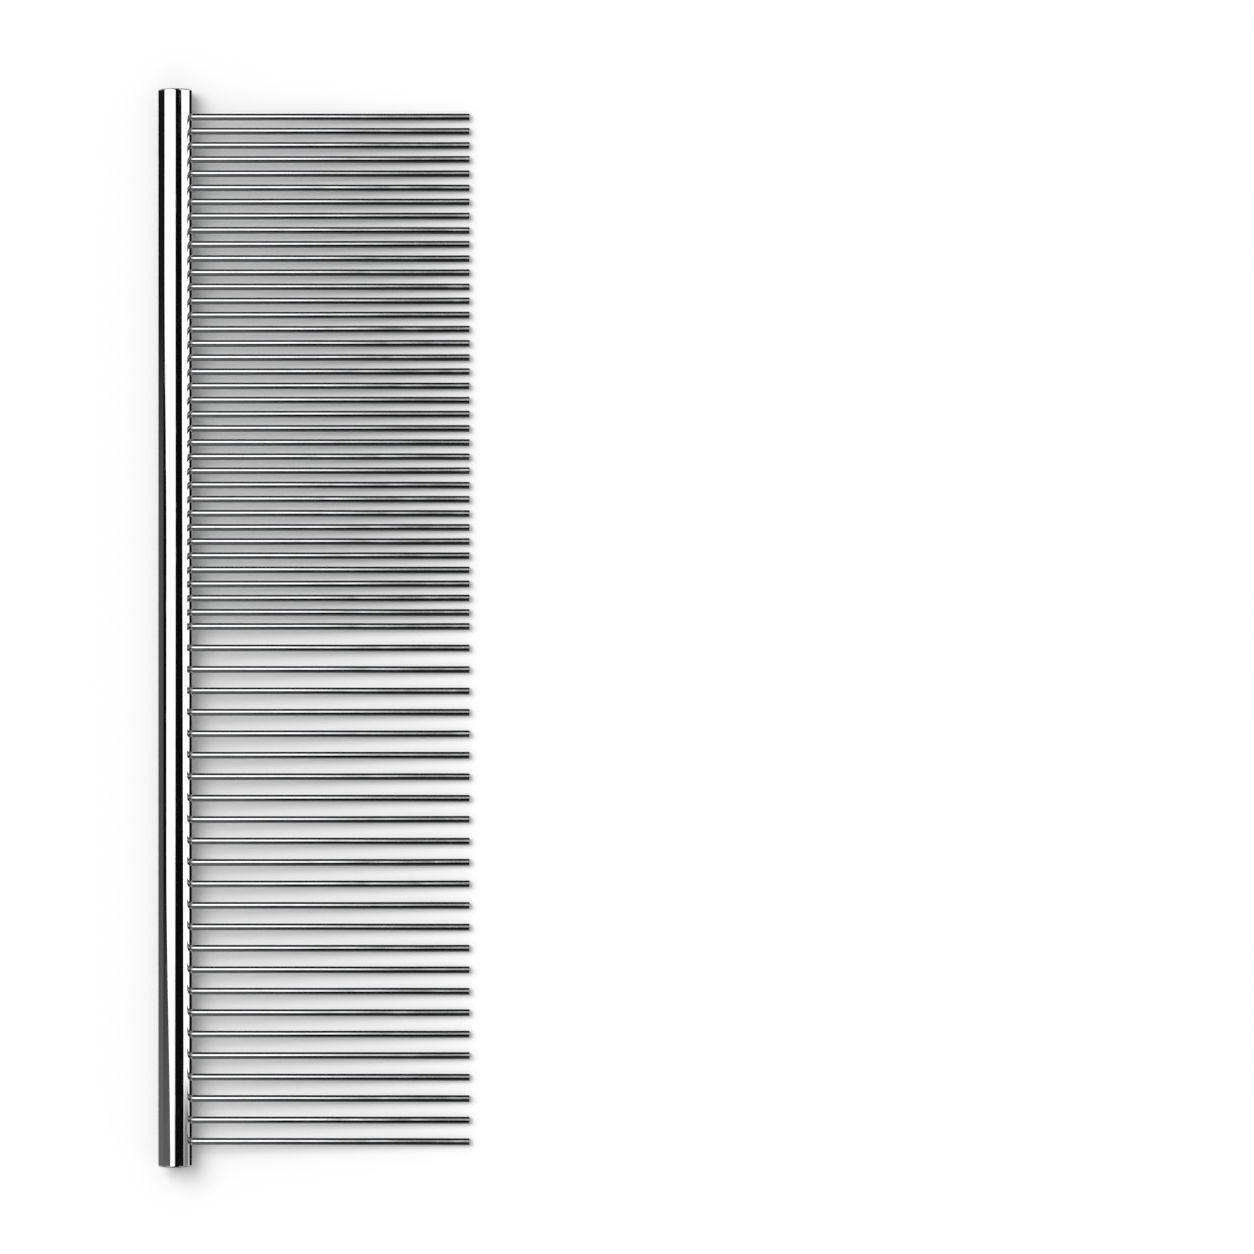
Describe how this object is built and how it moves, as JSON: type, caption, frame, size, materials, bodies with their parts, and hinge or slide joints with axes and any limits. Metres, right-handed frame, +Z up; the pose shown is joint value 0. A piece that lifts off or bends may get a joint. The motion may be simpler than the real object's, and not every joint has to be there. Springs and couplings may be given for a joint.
{
  "type": "grooming comb",
  "caption": "Polished steel grooming comb with long parallel wire pins pressed into a round spine rod, fine spacing at one end and coarse at the other.",
  "frame": {"origin": "on the table, under the middle of the comb's bounding box", "axes": "+Y along the spine towards the fine-spaced end, +X from the spine towards the pin tips, +Z up from the table that the comb lies on"},
  "size_m": [0.055, 0.19, 0.0059],
  "materials": {
    "spine_steel": "mirror polished",
    "pin_steel": "polished wire"
  },
  "bodies": {
    "root": {"spine_rod": "spine_steel", "fine_pins_01_02": "pin_steel", "fine_pin_03": "pin_steel", "fine_pin_04": "pin_steel", "fine_pin_05": "pin_steel", "fine_pin_06": "pin_steel", "fine_pin_07": "pin_steel", "fine_pin_08": "pin_steel", "fine_pin_09": "pin_steel", "fine_pin_10": "pin_steel", "fine_pin_11": "pin_steel", "fine_pin_12": "pin_steel", "fine_pin_13": "pin_steel", "fine_pin_14": "pin_steel", "fine_pin_15": "pin_steel", "fine_pin_16": "pin_steel", "fine_pin_17": "pin_steel", "fine_pin_18": "pin_steel", "fine_pin_19": "pin_steel", "fine_pin_20": "pin_steel", "fine_pin_21": "pin_steel", "fine_pin_22": "pin_steel", "fine_pin_23": "pin_steel", "fine_pin_24": "pin_steel", "fine_pin_25": "pin_steel", "fine_pin_26": "pin_steel", "fine_pin_27": "pin_steel", "fine_pin_28": "pin_steel", "fine_pin_29": "pin_steel", "fine_pin_30": "pin_steel", "fine_pin_31": "pin_steel", "fine_pin_32": "pin_steel", "fine_pin_33": "pin_steel", "fine_pin_34": "pin_steel", "fine_pin_35": "pin_steel", "fine_pin_36": "pin_steel", "fine_pin_37": "pin_steel", "coarse_pin_01": "pin_steel", "coarse_pin_02": "pin_steel", "coarse_pin_03": "pin_steel", "coarse_pin_04": "pin_steel", "coarse_pin_05": "pin_steel", "coarse_pin_06": "pin_steel", "coarse_pin_07": "pin_steel", "coarse_pin_08": "pin_steel", "coarse_pin_09": "pin_steel", "coarse_pin_10": "pin_steel", "coarse_pin_11": "pin_steel", "coarse_pin_12": "pin_steel", "coarse_pin_13": "pin_steel", "coarse_pin_14": "pin_steel", "coarse_pin_15": "pin_steel", "coarse_pin_16": "pin_steel", "coarse_pin_17": "pin_steel", "coarse_pin_18": "pin_steel", "coarse_pin_19": "pin_steel", "coarse_pin_20": "pin_steel", "coarse_pin_21": "pin_steel", "coarse_pin_22": "pin_steel", "coarse_pins_23_24": "pin_steel"}
  },
  "joints": []
}
